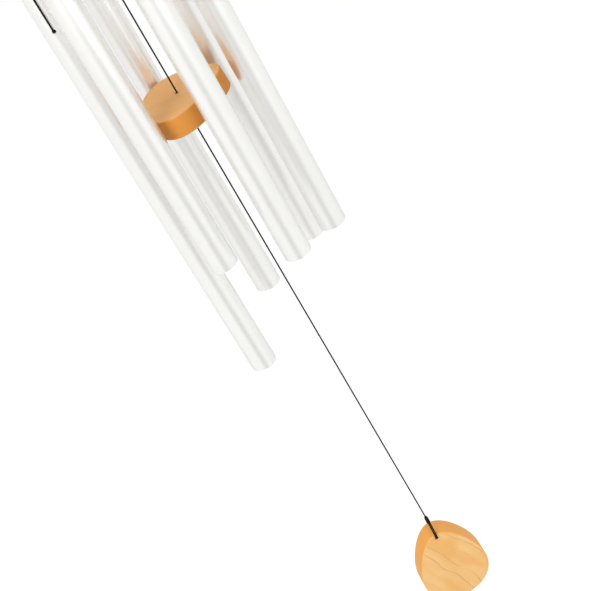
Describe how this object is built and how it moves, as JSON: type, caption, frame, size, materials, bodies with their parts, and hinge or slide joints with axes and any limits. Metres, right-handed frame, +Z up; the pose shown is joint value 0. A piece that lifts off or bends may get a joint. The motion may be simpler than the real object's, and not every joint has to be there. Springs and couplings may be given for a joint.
{
  "type": "wind chime",
  "caption": "Hanging wind chime: tuned aluminium tubes on cords under a round maple top, an egg-shaped maple striker between them and a wooden wind catcher below.",
  "frame": {"origin": "the hook point: the inner top of the hanging ring, where a hook bears", "axes": "+Z up, +X to the right and +Y away from the front; the striker's cord hangs straight down -Z, 1.7 mm left of the middle"},
  "size_m": [0.1502, 0.1502, 0.8719],
  "materials": {
    "aluminium": "satin brushed along the tube",
    "top_wood": "clear satin varnish on maple",
    "striker_wood": "clear satin varnish on maple",
    "sail_wood": "clear satin varnish on maple",
    "steel": "bright plated wire",
    "cord": "black braided polyester"
  },
  "bodies": {
    "hook_ring": {"hanging_ring": "steel"},
    "top": {"top_disc": "top_wood", "upper_screw_eye": "steel", "lower_screw_eye": "steel", "tube_1_lacing": "cord", "tube_2_lacing": "cord", "tube_3_lacing": "cord", "tube_4_lacing": "cord", "tube_5_lacing": "cord", "tube_6_lacing": "cord"},
    "hung_tube_1": {"tube_1": "aluminium", "tube_1_cord": "cord"},
    "hung_tube_2": {"tube_2": "aluminium", "tube_2_cord": "cord"},
    "hung_tube_3": {"tube_3": "aluminium", "tube_3_cord": "cord"},
    "hung_tube_4": {"tube_4": "aluminium", "tube_4_cord": "cord"},
    "hung_tube_5": {"tube_5": "aluminium", "tube_5_cord": "cord"},
    "hung_tube_6": {"tube_6": "aluminium", "tube_6_cord": "cord"},
    "striker_line": {"striker_loop": "cord", "striker_loop_knot": "cord", "striker_cord": "cord", "striker_stop_knot": "cord"},
    "striker_puck": {"striker": "striker_wood"},
    "catcher_line": {"catcher_cord": "cord"},
    "sail_hanger": {"sail_knot": "cord", "sail_loop": "cord"},
    "sail_plate": {"sail": "sail_wood"}
  },
  "joints": [
    {"name": "chime_swing", "type": "hinge", "parent": "hook_ring", "child": "top", "pos_m": [0, 0, -0.0245], "axis": [1, 0, 0], "range_deg": [-25, 25]},
    {"name": "tube_1_swing", "type": "hinge", "parent": "top", "child": "hung_tube_1", "pos_m": [-0.03687, -0.04023, -0.06066], "axis": [-0.7373, 0.6756, 0], "range_deg": [-0.3, 25]},
    {"name": "tube_2_swing", "type": "hinge", "parent": "top", "child": "hung_tube_2", "pos_m": [0.01641, -0.05205, -0.06066], "axis": [-0.9537, -0.3007, 0], "range_deg": [-0.3, 25]},
    {"name": "tube_3_swing", "type": "hinge", "parent": "top", "child": "hung_tube_3", "pos_m": [0.05328, -0.01181, -0.06066], "axis": [-0.2164, -0.9763, 0], "range_deg": [-0.3, 25]},
    {"name": "tube_4_swing", "type": "hinge", "parent": "top", "child": "hung_tube_4", "pos_m": [0.03687, 0.04023, -0.06066], "axis": [0.7373, -0.6756, 0], "range_deg": [-0.3, 25]},
    {"name": "tube_5_swing", "type": "hinge", "parent": "top", "child": "hung_tube_5", "pos_m": [-0.01641, 0.05205, -0.06066], "axis": [0.9537, 0.3007, 0], "range_deg": [-0.3, 25]},
    {"name": "tube_6_swing", "type": "hinge", "parent": "top", "child": "hung_tube_6", "pos_m": [-0.05328, 0.01181, -0.06066], "axis": [0.2164, 0.9763, 0], "range_deg": [-0.3, 25]},
    {"name": "striker_swing", "type": "hinge", "parent": "top", "child": "striker_line", "pos_m": [-0.0017, 0, -0.07142], "axis": [1, 0, 0], "range_deg": [-0.4, 0.4]},
    {"name": "striker_turn", "type": "hinge", "parent": "striker_line", "child": "striker_puck", "pos_m": [-0.0017, 0, -0.29456], "axis": [0, 0, 1], "continuous": true},
    {"name": "catcher_swing", "type": "hinge", "parent": "striker_line", "child": "catcher_line", "pos_m": [-0.0017, 0, -0.31001], "axis": [0.9763, -0.2164, 0], "range_deg": [-30, 30]},
    {"name": "sail_twist", "type": "hinge", "parent": "catcher_line", "child": "sail_hanger", "pos_m": [-0.0017, 0, -0.76821], "axis": [0, 0, 1], "continuous": true},
    {"name": "sail_rock", "type": "hinge", "parent": "sail_hanger", "child": "sail_plate", "pos_m": [-0.0026, 0, -0.78921], "axis": [0, 1, 0], "range_deg": [-25, 25]}
  ]
}
